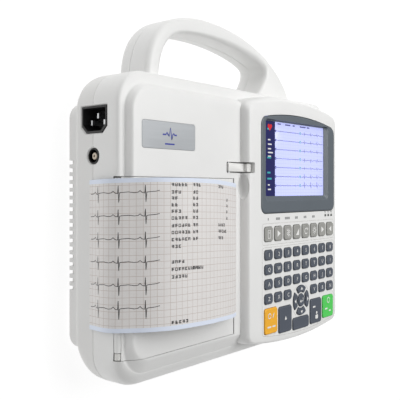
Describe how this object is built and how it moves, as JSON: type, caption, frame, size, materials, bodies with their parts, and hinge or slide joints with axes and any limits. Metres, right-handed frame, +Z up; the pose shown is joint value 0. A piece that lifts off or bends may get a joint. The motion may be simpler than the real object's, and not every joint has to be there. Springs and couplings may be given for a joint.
{
  "type": "portable ecg recorder",
  "caption": "Portable ECG recorder: white plastic case with a carrying handle, colour screen, rubber keypad and a thermal chart printer under a hinged door.",
  "frame": {"origin": "on the table, under the centre of the whole object's plan box", "axes": "+Z up out of the screen's face, +Y towards the carrying handle, +X towards the user's right, the keypad side"},
  "size_m": [0.299, 0.29, 0.0908],
  "materials": {
    "case_white": "warm white moulded plastic with a fine spark texture",
    "case_lower": "warm white moulded plastic, a little greyer",
    "soft_rubber": "black rubber",
    "platen_rubber": "ground black rubber on a steel shaft",
    "bright_steel": "zinc-plated steel",
    "bracket_plastic": "light grey moulded plastic",
    "latch_plastic": "light grey moulded plastic",
    "chart_paper": "thermal chart paper with a pale pink grid",
    "dark_plastic": "black moulded plastic",
    "gear_plastic": "natural white acetal",
    "brass_gear": "turned brass",
    "motor_steel": "plated sheet steel",
    "head_ceramic": "glazed ceramic print head on an aluminium heat sink",
    "screen_frame_grey": "slate grey satin panel",
    "screen_glass": "lit colour screen behind clear glass",
    "nameplate_grey": "silver-grey plate, plain",
    "status_lamp": "translucent indicator lens",
    "earth_brass": "nickel-plated brass pin in a black cup",
    "circuit_board": "green circuit board",
    "battery_wrap": "blue shrink wrap",
    "key_light": "light grey silicone rubber",
    "key_dark": "slate silicone rubber",
    "key_amber": "amber silicone rubber",
    "key_green": "green silicone rubber"
  },
  "bodies": {
    "case": {"upper_case": "case_white", "lower_case": "case_lower", "battery_cover": "case_lower", "rubber_feet": "soft_rubber", "case_screws": "bright_steel", "door_hinge_brackets": "bracket_plastic", "latch_pin": "bright_steel", "paper_bay": "bracket_plastic", "strip_end": "chart_paper", "stepper_motor": "motor_steel", "printer_frame": "motor_steel", "print_head": "head_ceramic", "head_spring": "bright_steel", "screen_frame": "screen_frame_grey", "screen_window": "screen_glass", "screen_module": "dark_plastic", "nameplate": "nameplate_grey", "status_lights": "status_lamp", "mains_inlet": "dark_plastic", "inlet_pins": "bright_steel", "earth_terminal": "earth_brass", "patient_socket": "dark_plastic", "network_socket": "motor_steel", "main_board": "circuit_board", "keypad_board": "circuit_board", "power_board": "circuit_board", "battery_pack": "battery_wrap", "speaker": "dark_plastic"},
    "door": {"printer_door": "case_white", "door_hinge_pins": "bright_steel", "printed_strip": "chart_paper"},
    "latch": {"door_latch": "latch_plastic"},
    "platen": {"platen_roller": "platen_rubber", "platen_gear": "gear_plastic"},
    "idler": {"idler_gear": "gear_plastic"},
    "pinion": {"motor_pinion": "brass_gear"},
    "roll": {"paper_roll": "chart_paper", "roll_spindle": "dark_plastic"},
    "function_key_1": {"function_key_1": "key_light"},
    "function_key_2": {"function_key_2": "key_light"},
    "function_key_3": {"function_key_3": "key_light"},
    "function_key_4": {"function_key_4": "key_light"},
    "function_key_5": {"function_key_5": "key_light"},
    "function_key_6": {"function_key_6": "key_light"},
    "function_key_7": {"function_key_7": "key_light"},
    "function_key_8": {"function_key_8": "key_light"},
    "letter_row_1": {"letter_row_1": "key_dark"},
    "letter_row_2": {"letter_row_2": "key_dark"},
    "letter_row_3": {"letter_row_3": "key_dark"},
    "letter_row_4": {"letter_row_4": "key_dark"},
    "arrow_up_key": {"arrow_up_key": "key_dark"},
    "arrow_left_key": {"arrow_left_key": "key_dark"},
    "enter_key": {"enter_key": "key_dark"},
    "arrow_right_key": {"arrow_right_key": "key_dark"},
    "arrow_down_key": {"arrow_down_key": "key_dark"},
    "cancel_key": {"cancel_key": "key_amber"},
    "shift_key": {"shift_key": "key_dark"},
    "space_key": {"space_key": "key_dark"},
    "copy_key": {"copy_key": "key_dark"},
    "start_key": {"start_key": "key_green"}
  },
  "joints": [
    {"name": "door_hinge", "type": "hinge", "parent": "case", "child": "door", "pos_m": [-0.1423, -0.0552, 0.0567], "axis": [0, -1, 0], "range_deg": [0, 80]},
    {"name": "latch_lift", "type": "hinge", "parent": "case", "child": "latch", "pos_m": [-0.0235, 0.0205, 0.0659], "axis": [0, -1, 0], "range_deg": [0, 20], "stiffness_Nm_per_rad": 0.05, "springref_deg": -5.73},
    {"name": "platen_spin", "type": "hinge", "parent": "door", "child": "platen", "pos_m": [-0.025, -0.047, 0.0593], "axis": [0, -1, 0], "continuous": true},
    {"name": "idler_spin", "type": "hinge", "parent": "case", "child": "idler", "pos_m": [-0.025, -0.107, 0.04718], "axis": [0, -1, 0], "continuous": true},
    {"name": "pinion_spin", "type": "hinge", "parent": "case", "child": "pinion", "pos_m": [-0.025, -0.107, 0.03626], "axis": [0, -1, 0], "continuous": true},
    {"name": "roll_spin", "type": "hinge", "parent": "case", "child": "roll", "pos_m": [-0.1055, -0.055, 0.04], "axis": [0, -1, 0], "continuous": true},
    {"name": "function_key_1_press", "type": "slide", "parent": "case", "child": "function_key_1", "axis": [0, 0, -1], "range_m": [0, 0.001], "stiffness_N_per_m": 700, "springref_m": -0.0004},
    {"name": "function_key_2_press", "type": "slide", "parent": "case", "child": "function_key_2", "axis": [0, 0, -1], "range_m": [0, 0.001], "stiffness_N_per_m": 700, "springref_m": -0.0004},
    {"name": "function_key_3_press", "type": "slide", "parent": "case", "child": "function_key_3", "axis": [0, 0, -1], "range_m": [0, 0.001], "stiffness_N_per_m": 700, "springref_m": -0.0004},
    {"name": "function_key_4_press", "type": "slide", "parent": "case", "child": "function_key_4", "axis": [0, 0, -1], "range_m": [0, 0.001], "stiffness_N_per_m": 700, "springref_m": -0.0004},
    {"name": "function_key_5_press", "type": "slide", "parent": "case", "child": "function_key_5", "axis": [0, 0, -1], "range_m": [0, 0.001], "stiffness_N_per_m": 700, "springref_m": -0.0004},
    {"name": "function_key_6_press", "type": "slide", "parent": "case", "child": "function_key_6", "axis": [0, 0, -1], "range_m": [0, 0.001], "stiffness_N_per_m": 700, "springref_m": -0.0004},
    {"name": "function_key_7_press", "type": "slide", "parent": "case", "child": "function_key_7", "axis": [0, 0, -1], "range_m": [0, 0.001], "stiffness_N_per_m": 700, "springref_m": -0.0004},
    {"name": "function_key_8_press", "type": "slide", "parent": "case", "child": "function_key_8", "axis": [0, 0, -1], "range_m": [0, 0.001], "stiffness_N_per_m": 700, "springref_m": -0.0004},
    {"name": "letter_row_1_press", "type": "slide", "parent": "case", "child": "letter_row_1", "axis": [0, 0, -1], "range_m": [0, 0.001], "stiffness_N_per_m": 700, "springref_m": -0.0004},
    {"name": "letter_row_2_press", "type": "slide", "parent": "case", "child": "letter_row_2", "axis": [0, 0, -1], "range_m": [0, 0.001], "stiffness_N_per_m": 700, "springref_m": -0.0004},
    {"name": "letter_row_3_press", "type": "slide", "parent": "case", "child": "letter_row_3", "axis": [0, 0, -1], "range_m": [0, 0.001], "stiffness_N_per_m": 700, "springref_m": -0.0004},
    {"name": "letter_row_4_press", "type": "slide", "parent": "case", "child": "letter_row_4", "axis": [0, 0, -1], "range_m": [0, 0.001], "stiffness_N_per_m": 700, "springref_m": -0.0004},
    {"name": "arrow_up_key_press", "type": "slide", "parent": "case", "child": "arrow_up_key", "axis": [0, 0, -1], "range_m": [0, 0.001], "stiffness_N_per_m": 700, "springref_m": -0.0004},
    {"name": "arrow_left_key_press", "type": "slide", "parent": "case", "child": "arrow_left_key", "axis": [0, 0, -1], "range_m": [0, 0.001], "stiffness_N_per_m": 700, "springref_m": -0.0004},
    {"name": "enter_key_press", "type": "slide", "parent": "case", "child": "enter_key", "axis": [0, 0, -1], "range_m": [0, 0.001], "stiffness_N_per_m": 700, "springref_m": -0.0004},
    {"name": "arrow_right_key_press", "type": "slide", "parent": "case", "child": "arrow_right_key", "axis": [0, 0, -1], "range_m": [0, 0.001], "stiffness_N_per_m": 700, "springref_m": -0.0004},
    {"name": "arrow_down_key_press", "type": "slide", "parent": "case", "child": "arrow_down_key", "axis": [0, 0, -1], "range_m": [0, 0.001], "stiffness_N_per_m": 700, "springref_m": -0.0004},
    {"name": "cancel_key_press", "type": "slide", "parent": "case", "child": "cancel_key", "axis": [0, 0, -1], "range_m": [0, 0.001], "stiffness_N_per_m": 700, "springref_m": -0.0004},
    {"name": "shift_key_press", "type": "slide", "parent": "case", "child": "shift_key", "axis": [0, 0, -1], "range_m": [0, 0.001], "stiffness_N_per_m": 700, "springref_m": -0.0004},
    {"name": "space_key_press", "type": "slide", "parent": "case", "child": "space_key", "axis": [0, 0, -1], "range_m": [0, 0.001], "stiffness_N_per_m": 700, "springref_m": -0.0004},
    {"name": "copy_key_press", "type": "slide", "parent": "case", "child": "copy_key", "axis": [0, 0, -1], "range_m": [0, 0.001], "stiffness_N_per_m": 700, "springref_m": -0.0004},
    {"name": "start_key_press", "type": "slide", "parent": "case", "child": "start_key", "axis": [0, 0, -1], "range_m": [0, 0.001], "stiffness_N_per_m": 700, "springref_m": -0.0004}
  ],
  "couplings": [
    {"joint": "idler_spin", "follows": "platen_spin", "ratio": -0.66667},
    {"joint": "pinion_spin", "follows": "platen_spin", "ratio": 1.3333},
    {"joint": "roll_spin", "follows": "platen_spin", "ratio": 0.2381}
  ]
}
